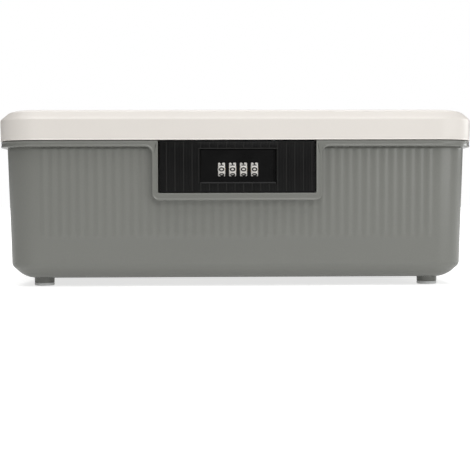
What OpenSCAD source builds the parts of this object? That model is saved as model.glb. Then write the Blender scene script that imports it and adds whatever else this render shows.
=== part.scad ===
// Combination lock box: moulded tub and lid, four number dials on a sliding dial block.
// X is the width, the front faces -Y, Z is up. Millimetres, real size.
// The origin is on the ground under the middle of the box.

/* [Box] */
// Width of the lid, the widest part
box_w = 330; // [300:1:360]
// Depth of the lid, front to back, without the hinge barrels
box_d = 223; // [205:1:250]
// Height of the tub's rim above the ground
rim_top = 100.7; // [96:0.1:120]
// Height of the lid from its lower edge to its top
lid_h = 21.8; // [19:0.1:30]
// Wall thickness of the tub and the lid
wall = 2.5; // [2:0.1:3]
// Outer corner radius of the lid, seen from above
lid_r = 27.5; // [27:0.5:32]
// How far the tub's wall leans in, per millimetre of height
draft = 0.032; // [0.01:0.001:0.04]

/* [Flutes] */
// Distance from one flute to the next on the tub's walls
flute_pitch = 6.15; // [4:0.05:10]
// Depth of a flute
flute_depth = 0.36; // [0.2:0.02:0.6]
// Height above the ground at which the flutes end
flute_z0 = 34.2; // [26:0.1:50]

/* [Feet] */
// Radius of the stub feet under the tub and of the plug heads
foot_r = 7; // [6.5:0.1:9]
// Height of the plug heads below the stubs
plug_t = 2.2; // [1.5:0.1:4]
// Height of the stubs below the tub's bottom
stub_h = 3.6; // [3:0.1:5]
// Distance of the feet from the middle, left and right
foot_x = 136; // [110:1:140]

/* [Lock] */
// Width of the black lock bezel
bezel_w = 108; // [105:0.2:114]
// Height of the bezel
bezel_h = 35.4; // [35:0.1:40]
// Pitch of the fine ribs on the bezel
rib_pitch = 5.85; // [4:0.05:5.9]
// Radius of a number dial
dial_r = 6.6; // [6.4:0.1:7]
// Width of a number dial
dial_w = 4.8; // [4.6:0.1:4.8]
// Distance from one dial to the next
dial_pitch = 7.5; // [7.5:0.1:8]
// Travel of the dial block from unlocked to locked
slide_travel = 1.8; // [1.6:0.05:1.8]

/* [Hinge] */
// Distance of the two hinges from the middle
hinge_x = 95; // [60:1:110]
// Radius of the hinge pins
pin_r = 1.5; // [1.2:0.1:1.8]
// Radius of the hinge barrels
barrel_r = 3.3; // [3:0.1:3.4]

/* [Hidden] */
$fn = 64;
front = -115;                       // front face of the lid
back = front + box_d;               // rear face of the lid
// all corners of tub, rim and lid turn about these four upright lines
cx = box_w / 2 - lid_r;
cyf = front + lid_r;
cyb = back - lid_r;
tub_bottom = plug_t + stub_h;       // 5.8
u_wall = lid_r - 4.9;               // outer wall at the rim, measured from a corner's line
u_rim = lid_r - 0.75;
rim_h = 4.1;
lid_z0 = rim_top + 0.5;             // lower edge of the lid's skirt
lid_top = rim_top + 0.5 + lid_h;
hinge_y = back + 3.7;
hinge_z = rim_top + 0.25;
// lock datum lines
slab_front = -110.4;                // pocket floor behind the bezel
slab_back = -107;
bezel_face = -113.9;
bezel_back = -110.5;
bezel_z0 = rim_top - 0.2 - bezel_h;
win_x0 = -25.8;
win_x1 = 26.6;
win_z0 = rim_top - 27.9;
win_z1 = rim_top - 5.7;
dial_y = -107.6;
dial_z = rim_top - 19.8;
dial_mid = 0.6;                     // middle of the dial row
dial_x = [for (i = [0:3]) dial_mid + (i - 1.5) * dial_pitch];
gap = dial_pitch - dial_w;          // free width between two dials
block_face = -112.3;
ear_x = 26;                         // lid ears left and right of the middle
screw_x = 44;
screw_z = [rim_top - 28.7, rim_top - 7.7];
hasp_z = rim_top + 2.5;
hasp_screw_x = 34;
hasp_screw_y = -104.2;

// ---------- helpers ----------
function bez(a, b, c, n) = [for (i = [0:n]) let (t = i / n)
    (1 - t) * (1 - t) * a + 2 * t * (1 - t) * b + t * t * c];

// box from its two corners
module span(a, b) translate(a) cube([b[0] - a[0], b[1] - a[1], b[2] - a[2]]);

// runs a section, drawn as [distance from the corner line, height], round the box
module round_box() {
    translate([cx, cyb, 0]) rotate_extrude(angle = 90) children();
    translate([-cx, cyb, 0]) rotate([0, 0, 90]) rotate_extrude(angle = 90) children();
    translate([-cx, cyf, 0]) rotate([0, 0, 180]) rotate_extrude(angle = 90) children();
    translate([cx, cyf, 0]) rotate([0, 0, 270]) rotate_extrude(angle = 90) children();
    translate([cx, cyb, 0]) rotate([90, 0, 0]) linear_extrude(cyb - cyf) children();
    translate([-cx, cyf, 0]) rotate([90, 0, 180]) linear_extrude(cyb - cyf) children();
    translate([-cx, cyb, 0]) rotate([90, 0, 90]) linear_extrude(2 * cx) children();
    translate([cx, cyf, 0]) rotate([90, 0, 270]) linear_extrude(2 * cx) children();
}

// cylinder along X
module rod(x0, x1, y, z, r) translate([x0, y, z]) rotate([0, 90, 0]) cylinder(r = r, h = x1 - x0);
// cylinder along Y
module post(x, y0, y1, z, r) translate([x, y1, z]) rotate([90, 0, 0]) cylinder(r = r, h = y1 - y0);

// ---------- tub ----------
tub_out = [u_wall - draft * (rim_top - rim_h - tub_bottom - 10.9), tub_bottom + 10.9];
tub_in = [tub_out[0] - wall, tub_bottom + 11.7];

module tub_section() polygon(concat(
    [[0, tub_bottom]],
    bez([tub_out[0] - 19, tub_bottom], [tub_out[0] - 2, tub_bottom + 1.9], tub_out, 10),
    [[u_wall, rim_top - rim_h], [u_rim - 0.5, rim_top - rim_h], [u_rim, rim_top - rim_h + 0.5],
     [u_rim, rim_top - 0.5], [u_rim - 0.5, rim_top], [u_wall - 0.5, rim_top],
     [u_wall - 0.5, rim_top + 1.7], [u_wall - 0.8, rim_top + 2], [u_wall - wall, rim_top + 2]],
    bez(tub_in, [tub_in[0] - 1.7, tub_bottom + 4.1], [tub_out[0] - 19, tub_bottom + wall], 8),
    [[0, tub_bottom + wall]]));

// shallow upright waves on one wall, drawn along X with the wall in front of them at y = 0
module flutes(len, top) {
    n = floor(len / flute_pitch);
    half = n * flute_pitch / 2;
    h = top - flute_z0;
    lean = atan(draft);
    // they run 1 mm up into the rim
    rotate([lean, 0, 0]) translate([0, 0, -h / cos(lean)]) linear_extrude(h / cos(lean) + 1)
        polygon(concat([[half, 1], [-half, 1]],
            [for (i = [0:8 * n]) let (x = -half + i * flute_pitch / 8)
                [x, -0.04 - flute_depth * (1 - cos(360 * i / 8)) / 2]]));
}

// raised border of the lock pocket: a U that runs into the rim
module pocket_frame() {
    xo = bezel_w / 2 + 4.2;
    z0 = bezel_z0 - 4.8;
    z1 = rim_top - rim_h;
    r = 4.5;
    translate([0, -108.6, 0]) rotate([90, 0, 0]) linear_extrude(-108.6 - (front + 0.75)) {
        difference() {
            translate([-xo, z0]) square([2 * xo, z1 - z0 + 1]);
            for (s = [-1, 1]) difference() {
                translate([s * xo - r, z0 - r]) square([2 * r, 2 * r]);
                translate([s * (xo - r), z0 + r]) circle(r = r);
                translate([s * (xo - r) - r, z0 + r]) square([2 * r, r + 1]);
                translate([s * (xo - r) - (s > 0 ? r + 1 : 0), z0 - 1]) square([r + 1, 2 * r + 2]);
            }
        }
        for (s = [-1, 1]) difference() {
            translate([s > 0 ? xo - 0.5 : -xo - 4.9, z1 - 4.9]) square([5.4, 5.4]);
            translate([s * (xo + 4.9), z1 - 4.9]) circle(r = 4.9);
        }
    }
}

module base_tub() color([0.49, 0.485, 0.47]) difference() {
    union() {
        round_box() tub_section();
        span([-cx, cyf, tub_bottom], [cx, cyb, tub_bottom + wall]);
        z1 = rim_top - rim_h;
        translate([0, cyf - u_wall, z1]) flutes(2 * cx, z1);
        translate([0, cyb + u_wall, z1]) rotate([0, 0, 180]) flutes(2 * cx, z1);
        translate([cx + u_wall, (cyf + cyb) / 2, z1]) rotate([0, 0, 90]) flutes(cyb - cyf, z1);
        translate([-cx - u_wall, (cyf + cyb) / 2, z1]) rotate([0, 0, -90]) flutes(cyb - cyf, z1);
        pocket_frame();
        span([-bezel_w / 2 - 4, slab_front - 1.2, bezel_z0 - 4.2], [bezel_w / 2 + 4, slab_back, rim_top]);
        // hollow stub feet
        for (x = [-foot_x, foot_x], y = [cyf + 6, cyb - 6])
            translate([x, y, plug_t]) cylinder(r = foot_r, h = tub_bottom + wall + 2 - plug_t);
        // outer hinge knuckles
        for (x = [-hinge_x, hinge_x], s = [-1, 1]) {
            rod(x + s * 15.2 - 5, x + s * 15.2 + 5, hinge_y, hinge_z, barrel_r);
            span([x + s * 15.2 - 5, cyb + u_wall - 2.4, rim_top - 7], [x + s * 15.2 + 5, hinge_y, rim_top - 0.3]);
        }
    }
    // pocket for the bezel, open at the top
    span([-bezel_w / 2 - 0.3, front - 5, bezel_z0 - 0.3], [bezel_w / 2 + 0.3, slab_front, rim_top + 5]);
    // the rim's bead stops beside the lock
    span([-bezel_w / 2 - 6, front - 5, rim_top], [bezel_w / 2 + 6, -100, rim_top + 5]);
    // way through the wall for the dial block
    span([-36, slab_front - 1, rim_top - 32.1], [36, slab_back + 1, rim_top + 5]);
    for (x = [-screw_x, screw_x], z = screw_z) post(x, slab_front - 1, slab_back + 1, z, 3.4);
    // flat seat for the lock's cover
    span([-51, slab_back, rim_top - 36], [51, -103, rim_top + 5]);
    // sockets in the stubs
    for (x = [-foot_x, foot_x], y = [cyf + 6, cyb - 6])
        translate([x, y, plug_t - 1]) cylinder(r = foot_r - 2, h = 6.8);
    for (x = [-hinge_x, hinge_x]) rod(x - 22, x + 22, hinge_y, hinge_z, pin_r);
}

// ---------- feet ----------
module foot_plug(x, y) color([0.9, 0.9, 0.9]) translate([x, y, 0]) rotate_extrude()
    polygon(concat([[0, 0], [foot_r - 0.8, 0]],
        bez([foot_r - 0.8, 0], [foot_r, 0], [foot_r, 0.8], 4),
        [[foot_r, plug_t], [foot_r - 2, plug_t], [foot_r - 2.9, plug_t + 4.4],
         [foot_r - 3.3, plug_t + 4.8], [0, plug_t + 4.8]]));
module foot_plug_front_left() foot_plug(-foot_x, cyf + 6);
module foot_plug_front_right() foot_plug(foot_x, cyf + 6);
module foot_plug_rear_left() foot_plug(-foot_x, cyb - 6);
module foot_plug_rear_right() foot_plug(foot_x, cyb - 6);

// ---------- hinge pins ----------
module hinge_pin(x) color([0.72, 0.72, 0.72]) rod(x - 20.2, x + 20.2, hinge_y, hinge_z, pin_r);
module hinge_pin_left() hinge_pin(-hinge_x);
module hinge_pin_right() hinge_pin(hinge_x);

// ---------- lock parts fixed to the tub ----------
module lock_bezel() color([0.13, 0.13, 0.125]) difference() {
    union() {
        translate([0, 0, bezel_z0]) linear_extrude(bezel_h) polygon(concat(
            [[bezel_w / 2, bezel_back], [-bezel_w / 2, bezel_back], [-bezel_w / 2, bezel_face + 0.2]],
            [for (i = [-8:9], p = [[-0.35, 0.2], [-0.15, 0], [0.15, 0], [0.35, 0.2]])
                [i * rib_pitch - 1.65 + p[0], bezel_face + p[1]]],
            [[bezel_w / 2, bezel_face + 0.2]]));
        for (x = [-screw_x, screw_x], z = screw_z) post(x, bezel_back - 0.1, slab_back - 0.1, z, 3.2);
    }
    span([win_x0, bezel_face - 1, win_z0], [win_x1, bezel_back + 1, win_z1]);
    // smooth border round the window, with slopes on its lower and right sides
    span([win_x0 - 1, bezel_face - 1, win_z0 - 1.6], [win_x1 + 1.8, bezel_face + 0.3, win_z1 + 0.7]);
    translate([win_x0 - 1, bezel_face + 0.3, win_z0]) rotate([90, 0, 90])
        linear_extrude(win_x1 - win_x0 + 2) polygon([[-1, 0.5], [-1, -1.5], [0, -1.5], [1.3, 0], [1.3, 0.5]]);
    translate([win_x1, bezel_face + 0.3, win_z0 - 1.5]) linear_extrude(win_z1 - win_z0 + 2)
        polygon([[-0.5, -1], [1.6, -1], [1.6, 0], [0, 1.6], [-0.5, 1.6]]);
    for (x = [-screw_x, screw_x], z = screw_z) post(x, -112.5, slab_back + 1, z, 1.25);
}

module lock_cover() color([0.2, 0.2, 0.195]) difference() {
    union() {
        difference() {
            union() {
                span([-38, slab_back, rim_top - 34.7], [38, -96.4, rim_top - 0.2]);
                span([-35.8, bezel_back + 0.1, rim_top - 1.8], [35.8, slab_back + 0.5, rim_top - 0.2]);
            }
            span([-36.4, slab_back - 1, rim_top - 33.1], [36.4, -98, rim_top - 1.8]);
        }
        // ledges that keep the dial block against the bezel
        span([-22, -108.8, rim_top - 4.6], [22, -107.3, rim_top - 1]);
        span([-22, slab_back, rim_top - 34], [22, -105.5, rim_top - 29.8]);
        span([-22, -108.8, rim_top - 31.9], [22, slab_back + 0.5, rim_top - 29.8]);
        // screw lugs
        for (s = [-1, 1], z = screw_z)
            span([min(s * 37, s * 50), slab_back, z - 4.5], [max(s * 37, s * 50), -105, z + 4.5]);
    }
    // ways in for the lid's ears
    for (s = [-1, 1]) span([s * ear_x - 1.9, -107.2, rim_top - 3], [s * ear_x + 1.9, -98.9, rim_top + 1]);
    for (x = [-screw_x, screw_x], z = screw_z) post(x, -110, -100, z, 1.6);
    for (x = [-21, 27]) post(x, -99, -95, dial_z, 1.2);
}

// pan head screw along -Y from its head's seat
module screw_y(x, y, z, len, r, head) {
    post(x, y - len, y + 0.1, z, r);
    difference() {
        union() {
            post(x, y, y + 1.1, z, head);
            translate([x, y + 1.1, z]) rotate([-90, 0, 0]) cylinder(r1 = head, r2 = head * 0.72, h = 0.5);
        }
        for (a = [0, 90]) translate([x, y + 1.3, z]) rotate([0, a, 0]) cube([head * 1.1, 1.6, 0.6], center = true);
    }
}

module lock_screws() color([0.72, 0.72, 0.7])
    for (x = [-screw_x, screw_x], z = screw_z) screw_y(x, -105, z, 7.3, 1.25, 2.8);

// fixed comb: its teeth stand between the gate discs
module comb_bar() color([0.7, 0.7, 0.68]) difference() {
    union() {
        span([-24, -99.6, dial_z - 3], [30, -98, dial_z + 3]);
        for (x = dial_x) span([x + dial_w / 2 + gap - 0.7, dial_y + 2.9, dial_z - 0.8],
                              [x + dial_w / 2 + gap - 0.2, -99.5, dial_z + 0.8]);
    }
    for (x = [-21, 27]) post(x, -101, -97, dial_z, 1.2);
}

module comb_rivets() color([0.78, 0.77, 0.74]) for (x = [-21, 27]) {
    post(x, -100.5, -99.6, dial_z, 2.1);
    post(x, -99.7, -96.3, dial_z, 1.2);
    post(x, -96.4, -95.7, dial_z, 1.9);
}

// leaf that holds the bolt at either end of its travel
module slide_detent() color([0.62, 0.63, 0.64])
    translate([0, -98.2, rim_top]) rotate([90, 0, 0]) linear_extrude(2) polygon([
        [-11, -1.8], [-11, -2.2], [-5.5, -2.2], [-1.2, -5.4], [-0.3, -6.35], [0.3, -6.35], [1.6, -5],
        [1.3, -4.75], [0.25, -5.85], [-0.25, -5.85], [-1, -5.1], [-5.4, -1.8]]);

// ---------- dial block, which slides in the bezel's window ----------
module dial_block() color([0.1, 0.1, 0.1]) difference() {
    union() {
        span([win_x0 + 0.2, block_face, win_z0 + 0.2], [win_x1 - slide_travel - 0.2, -109, win_z1 - 0.2]);
        span([-31, -110.3, rim_top - 31], [32.6, -109, rim_top - 3.7]);
        // cheeks that hold the axle
        for (x = [dial_x[0] - dial_w / 2 - 1.9, dial_x[3] + dial_w / 2 + gap + 0.1]) {
            span([x, -109.2, dial_z - 4.9], [x + 1.8, -100.6, dial_z + 4]);
            span([x, -109.2, dial_z + 3.6], [x + 1.8, -99.8, dial_z + 7.6]);
        }
        // seats for the bolt's screws
        span([dial_x[0] - dial_w / 2 - 6.1, -105.6, dial_z + 3.6], [dial_x[0] - dial_w / 2 - 1, -99.8, dial_z + 7.6]);
        span([dial_x[3] + dial_w / 2 + gap + 1, -105.6, dial_z + 3.6], [dial_x[3] + dial_w / 2 + gap + 5.2, -99.8, dial_z + 7.6]);
        // shelf for the detent spring
        span([dial_x[0] - dial_w / 2 - 1.9, -109.1, rim_top - 29.5], [dial_x[3] + dial_w / 2 + gap + 1.9, -103, rim_top - 28.7]);
    }
    for (x = dial_x) rod(x - dial_w / 2 - 0.25, x + dial_w / 2 + 0.25, dial_y, dial_z, dial_r + 0.3);
    for (x = dial_x) rod(x + dial_w / 2, x + dial_w / 2 + gap + 0.05, dial_y, dial_z, 4.4);
    rod(-40, 40, dial_y, dial_z, 1.5);
    for (x = [dial_x[0] - dial_w / 2 - 3.6, dial_x[3] + dial_w / 2 + gap + 2.9])
        post(x, -105, -99, dial_z + 5.7, 0.9);
}

module dial_axle() color([0.75, 0.75, 0.75])
    rod(dial_x[0] - dial_w / 2 - 1.9, dial_x[3] + dial_w / 2 + gap + 1.9, dial_y, dial_z, 1.5);

module detent_spring() color([0.62, 0.63, 0.64]) {
    span([dial_x[0] - dial_w / 2 - 1.5, -108.6, rim_top - 28.7], [dial_x[3] + dial_w / 2 + gap + 1.5, -101.9, rim_top - 28.4]);
    for (x = dial_x) {
        c = x + dial_w / 2 + gap / 2;
        translate([c - 0.4, -102.1, rim_top - 28.6]) rotate([-36.5, 0, 0]) translate([0, -6.8, 0]) cube([0.8, 6.8, 0.25]);
        rod(c - 0.4, c + 0.4, dial_y, dial_z - 4.85, 0.42);
    }
}

// steel bolt with two pins that reach into the lid's ears
module lock_bolt() color([0.7, 0.7, 0.68]) difference() {
    union() {
        span([-30.6, -99.8, dial_z + 4], [22.6, -98.2, rim_top - 6.7]);
        for (x = [-ear_x - 4.6, ear_x - 5]) {
            span([x, -105, rim_top - 11.9], [x + 1.6, -99.7, rim_top - 9.1]);
            rod(x + 0.1, x < 0 ? -ear_x - 1.05 : ear_x - 1.05, -103.5, rim_top - 10.5, 1.4);
        }
    }
    for (x = [0, -slide_travel]) post(x, -101, -97, rim_top - 6.6, 0.7);
    for (x = [dial_x[0] - dial_w / 2 - 3.6, dial_x[3] + dial_w / 2 + gap + 2.9])
        post(x, -101, -97, dial_z + 5.7, 1.1);
}

// countersunk heads, flush with the bolt's back
module bolt_screws() color([0.72, 0.72, 0.7])
    for (x = [dial_x[0] - dial_w / 2 - 3.6, dial_x[3] + dial_w / 2 + gap + 2.9])
        post(x, -104, -98.25, dial_z + 5.7, 0.9);

module dial_ring(i) color([0.86, 0.85, 0.83]) translate([dial_x[i], dial_y, dial_z]) difference() {
    rotate([0, 90, 0]) translate([0, 0, -dial_w / 2]) rotate_extrude() polygon([
        [3.9, 0], [dial_r - 0.35, 0], [dial_r, 0.35], [dial_r, dial_w - 0.35],
        [dial_r - 0.35, dial_w], [3.9, dial_w]]);
    // one thumb groove between neighbouring numbers, at both edges
    for (k = [0:9], s = [-1, 1]) rotate([36 * k + 18, 0, 0])
        translate([s * dial_w / 2, -dial_r, 0]) cube([0.9, 0.7, 0.5], center = true);
}
module dial_ring_1() dial_ring(0);
module dial_ring_2() dial_ring(1);
module dial_ring_3() dial_ring(2);
module dial_ring_4() dial_ring(3);

// hub inside a dial, with the disc whose gate lets the comb's tooth pass
module gate_hub(i) color([0.8, 0.66, 0.36]) translate([dial_x[i], dial_y, dial_z]) difference() {
    union() {
        rod(-dial_w / 2, dial_w / 2, 0, 0, 3.9);
        rod(dial_w / 2 - 0.1, dial_w / 2 + gap - 0.1, 0, 0, 2.6);
        difference() {
            rod(dial_w / 2 + 0.85, dial_w / 2 + 1.85, 0, 0, 4.1);
            span([dial_w / 2, 2.55, -1.2], [dial_w / 2 + 2.2, 5, 1.2]);
            for (k = [0:9]) rotate([36 * k + 18, 0, 0]) rod(dial_w / 2, dial_w / 2 + 2.2, 4.25, 0, 0.45);
        }
    }
    rod(-5, 8, 0, 0, 1.55);
}
module gate_hub_1() gate_hub(0);
module gate_hub_2() gate_hub(1);
module gate_hub_3() gate_hub(2);
module gate_hub_4() gate_hub(3);

// ---------- lid ----------
module lid_section() polygon(concat(
    [[0, lid_top], [lid_r - 17, lid_top - 0.2]],
    bez([lid_r - 17, lid_top - 0.2], [lid_r - 9, lid_top - 0.6], [lid_r - 6, lid_top - 2.5], 6),
    bez([lid_r - 1.4, lid_top - 7.1], [lid_r, lid_top - 8.5], [lid_r, lid_top - 10], 4),
    [[lid_r, lid_z0 + 0.5], [lid_r - 0.5, lid_z0], [lid_r - 1.5, lid_z0], [lid_r - 1.5, rim_top + 0.05],
     [lid_r - wall, rim_top + 0.05], [lid_r - wall, lid_top - 9.6], [lid_r - 7.6, lid_top - 4.5],
     [lid_r - 11, lid_top - wall - 0.6], [lid_r - 17, lid_top - wall - 0.2], [0, lid_top - wall - 0.2]]));

module lid_shell() color([0.93, 0.92, 0.9]) difference() {
    union() {
        round_box() lid_section();
        span([-cx, cyf, lid_top - wall - 0.2], [cx, cyb, lid_top]);
        // bosses for the hasp
        for (s = [-1, 1]) translate([s * hasp_screw_x, hasp_screw_y, hasp_z + 1.5])
            cylinder(r = 3.5, h = lid_top - wall - hasp_z - 1.5);
        // centre hinge knuckles, with the nib that stops the open lid at the rim
        for (x = [-hinge_x, hinge_x]) {
            rod(x - 10, x + 10, hinge_y, hinge_z, barrel_r);
            span([x - 10, back - 2, lid_z0], [x + 10, hinge_y, lid_z0 + 3.2]);
            translate([x - 10, hinge_y, hinge_z]) rotate([37.7, 0, 0]) span([0, -0.6, -4.66], [20, 0.6, -2]);
        }
    }
    for (x = [-hinge_x, hinge_x]) rod(x - 12, x + 12, hinge_y, hinge_z, pin_r + 0.05);
    for (s = [-1, 1]) translate([s * hasp_screw_x, hasp_screw_y, hasp_z - 1]) cylinder(r = 1.25, h = 12.5);
}

// steel hasp under the lid: a strip with two ears that hang into the lock
module lid_hasp() color([0.7, 0.7, 0.68]) difference() {
    union() {
        span([-hasp_screw_x - 4.5, -108.4, hasp_z], [hasp_screw_x + 4.5, -99.6, hasp_z + 1.5]);
        for (s = [-1, 1]) span([s * ear_x - 0.75, -106.4, rim_top - 14.7], [s * ear_x + 0.75, -100.2, hasp_z + 0.2]);
    }
    for (s = [-1, 1]) {
        span([s * ear_x - 2, -105.4, rim_top - 12.4], [s * ear_x + 2, -101.6, rim_top - 8.6]);
        translate([s * hasp_screw_x, hasp_screw_y, hasp_z - 1]) cylinder(r = 1.6, h = 4);
    }
}

module hasp_screws() color([0.72, 0.72, 0.7]) for (s = [-1, 1])
    translate([s * hasp_screw_x, hasp_screw_y, hasp_z]) {
        translate([0, 0, -0.1]) cylinder(r = 1.25, h = 10);
        difference() {
            translate([0, 0, -1.5]) cylinder(r1 = 2, r2 = 2.8, h = 1.5);
            for (a = [0, 90]) translate([0, 0, -1.5]) rotate([0, 0, a]) cube([3, 0.6, 1.4], center = true);
        }
    }

base_tub();
foot_plug_front_left();
foot_plug_front_right();
foot_plug_rear_left();
foot_plug_rear_right();
hinge_pin_left();
hinge_pin_right();
lock_bezel();
lock_cover();
lock_screws();
comb_bar();
comb_rivets();
slide_detent();
dial_block();
dial_axle();
detent_spring();
lock_bolt();
bolt_screws();
dial_ring_1();
dial_ring_2();
dial_ring_3();
dial_ring_4();
gate_hub_1();
gate_hub_2();
gate_hub_3();
gate_hub_4();
lid_shell();
lid_hasp();
hasp_screws();
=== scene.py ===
import math

import bmesh
import bpy
from mathutils import Matrix, Vector


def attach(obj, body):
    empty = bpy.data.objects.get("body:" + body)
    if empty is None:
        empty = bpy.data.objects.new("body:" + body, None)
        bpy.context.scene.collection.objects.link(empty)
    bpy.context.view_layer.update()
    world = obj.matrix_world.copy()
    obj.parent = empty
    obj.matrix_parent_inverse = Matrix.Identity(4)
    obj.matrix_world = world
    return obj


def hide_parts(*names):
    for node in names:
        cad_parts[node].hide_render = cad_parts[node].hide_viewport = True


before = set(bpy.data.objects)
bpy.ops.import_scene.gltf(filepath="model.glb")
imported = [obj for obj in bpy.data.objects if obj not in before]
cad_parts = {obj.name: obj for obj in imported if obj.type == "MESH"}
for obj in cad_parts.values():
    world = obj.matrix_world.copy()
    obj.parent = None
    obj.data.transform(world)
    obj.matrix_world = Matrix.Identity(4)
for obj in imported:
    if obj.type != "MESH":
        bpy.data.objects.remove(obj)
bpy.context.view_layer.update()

MM = 0.001
scene = bpy.context.scene

# ---------------------------------------------------------------- sizes, mm, the CAD's own
CX, CYF, CYB = 137.5, -87.5, 80.5          # the four corner lines
RIM_TOP, RIM_Z0 = 100.7, 96.6
U_RIM = 26.75
TUB_Z0 = 5.8
DRAFT = 0.032
FOOT = [(-136.0, -81.5), (136.0, -81.5), (-136.0, 74.5), (136.0, 74.5)]
HX, HY, HZ = 95.0, 111.7, 100.95           # hinges
DIAL_X = [-10.65, -3.15, 4.35, 11.85]
DIAL_H = 2.4                               # half a dial's width
DIAL_Y, DIAL_Z, DIAL_R = -107.6, 80.9, 6.6
SCREW_X, SCREW_Z = 44.0, (72.0, 93.0)


# ---------------------------------------------------------------- mesh tools
def bez(a, b, c, n):
    out = []
    for i in range(n + 1):
        t = i / n
        out.append(tuple((1 - t) ** 2 * p + 2 * t * (1 - t) * q + t * t * r for p, q, r in zip(a, b, c)))
    return out


def smooth(a, b, x):
    t = min(1.0, max(0.0, (x - a) / (b - a)))
    return t * t * (3 - 2 * t)


def solid(name, verts, faces):
    """A closed mesh from points in mm, with coinciding points joined and its faces turned outwards."""
    me = bpy.data.meshes.new(name)
    me.from_pydata([(x * MM, y * MM, z * MM) for x, y, z in verts], [], faces)
    bm = bmesh.new()
    bm.from_mesh(me)
    bmesh.ops.remove_doubles(bm, verts=bm.verts, dist=4e-7)
    bmesh.ops.recalc_face_normals(bm, faces=bm.faces)
    if bm.calc_volume(signed=True) < 0:
        bmesh.ops.reverse_faces(bm, faces=bm.faces)
    bm.to_mesh(me)
    bm.free()
    ob = bpy.data.objects.new(name, me)
    scene.collection.objects.link(ob)
    return ob


def rounded_box(name, a, b, r, segments=3):
    """A box between two corners, mm, with all edges rounded."""
    me = bpy.data.meshes.new(name)
    bm = bmesh.new()
    bmesh.ops.create_cube(bm, size=1.0)
    for v in bm.verts:
        v.co = Vector(((a[i] + b[i]) / 2 + v.co[i] * (b[i] - a[i])) * MM for i in range(3))
    if r:
        bmesh.ops.bevel(bm, geom=list(bm.edges), offset=r * MM, segments=segments, profile=0.5, affect="EDGES")
    bmesh.ops.recalc_face_normals(bm, faces=bm.faces)
    bm.to_mesh(me)
    bm.free()
    ob = bpy.data.objects.new(name, me)
    scene.collection.objects.link(ob)
    return ob


def inset(points, e):
    """Moves a closed counter-clockwise outline inwards by e, mitred."""
    n, out = len(points), []
    for i in range(n):
        p0, p1, p2 = points[i - 1], points[i], points[(i + 1) % n]
        d0 = (p1[0] - p0[0], p1[1] - p0[1])
        d1 = (p2[0] - p1[0], p2[1] - p1[1])
        l0, l1 = math.hypot(*d0), math.hypot(*d1)
        n0 = (-d0[1] / l0, d0[0] / l0)
        n1 = (-d1[1] / l1, d1[0] / l1)
        k = 1 + n0[0] * n1[0] + n0[1] * n1[1]
        k = max(k, 0.35)
        out.append((p1[0] + e * (n0[0] + n1[0]) / k, p1[1] + e * (n0[1] + n1[1]) / k))
    return out


def ccw(points):
    area = sum(points[i - 1][0] * points[i][1] - points[i][0] * points[i - 1][1] for i in range(len(points)))
    return points if area > 0 else points[::-1]


def prism(name, outline, axis, a0, a1, e0=0.3, e1=None, steps=3):
    """An outline pushed along an axis from a0 to a1, with its end edges rounded by e0 and e1.
    The outline is in (y, z) for x, (x, z) for y and (x, y) for z."""
    outline = ccw(list(outline))
    e1 = e0 if e1 is None else e1
    rows = []
    for k in range(steps + 1 if e0 else 1):
        t = math.pi / 2 * k / steps if e0 else math.pi / 2
        rows.append((e0 * (1 - math.sin(t)), a0 + e0 * (1 - math.cos(t)) if e0 else a0))
    for k in range(steps, -1, -1) if e1 else (0,):
        t = math.pi / 2 * k / steps if e1 else math.pi / 2
        rows.append((e1 * (1 - math.sin(t)), a1 - e1 * (1 - math.cos(t)) if e1 else a1))
    verts, n = [], len(outline)
    for e, a in rows:
        for p in inset(outline, e) if e > 1e-9 else outline:
            verts.append({"x": (a, p[0], p[1]), "y": (p[0], a, p[1]), "z": (p[0], p[1], a)}[axis])
    faces = [list(range(n))[::-1], [(len(rows) - 1) * n + i for i in range(n)]]
    for r in range(len(rows) - 1):
        for i in range(n):
            j = (i + 1) % n
            faces.append([r * n + i, r * n + j, (r + 1) * n + j, (r + 1) * n + i])
    return solid(name, verts, faces)


def lathe(name, profile, centre, axis="z", n=64):
    """A closed (radius, along) profile turned round an axis."""
    verts, faces, m = [], [], len(profile)
    for i in range(n):
        a = 2 * math.pi * i / n
        for r, h in profile:
            c, s = r * math.cos(a), r * math.sin(a)
            p = {"z": (c, s, h), "x": (h, c, s), "y": (c, h, s)}[axis]
            verts.append(tuple(p[k] + centre[k] for k in range(3)))
    for i in range(n):
        j = (i + 1) % n
        for k in range(m - 1):
            faces.append([i * m + k, i * m + k + 1, j * m + k + 1, j * m + k])
        if profile[0][0] > 1e-9 or profile[-1][0] > 1e-9:
            faces.append([i * m + m - 1, i * m, j * m, j * m + m - 1])
    return solid(name, verts, faces)


def rod(name, x0, x1, y, z, r, e=0.25, n=56):
    """A cylinder along X with rounded edges."""
    prof = [(0.0, x0), (r - e, x0), (r - e * 0.29, x0 + e * 0.29), (r, x0 + e),
            (r, x1 - e), (r - e * 0.29, x1 - e * 0.29), (r - e, x1), (0.0, x1)]
    if e == 0:
        prof = [(0.0, x0), (r, x0), (r, x1), (0.0, x1)]
    return lathe(name, prof, (0.0, y, z), "x", n)


def post(name, x, y0, y1, z, r, e=0.0, n=40):
    """A cylinder along Y."""
    prof = [(0.0, y0), (r - e, y0), (r, y0 + e), (r, y1 - e), (r - e, y1), (0.0, y1)]
    if e == 0:
        prof = [(0.0, y0), (r, y0), (r, y1), (0.0, y1)]
    return lathe(name, prof, (x, 0.0, z), "y", n)


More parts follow.
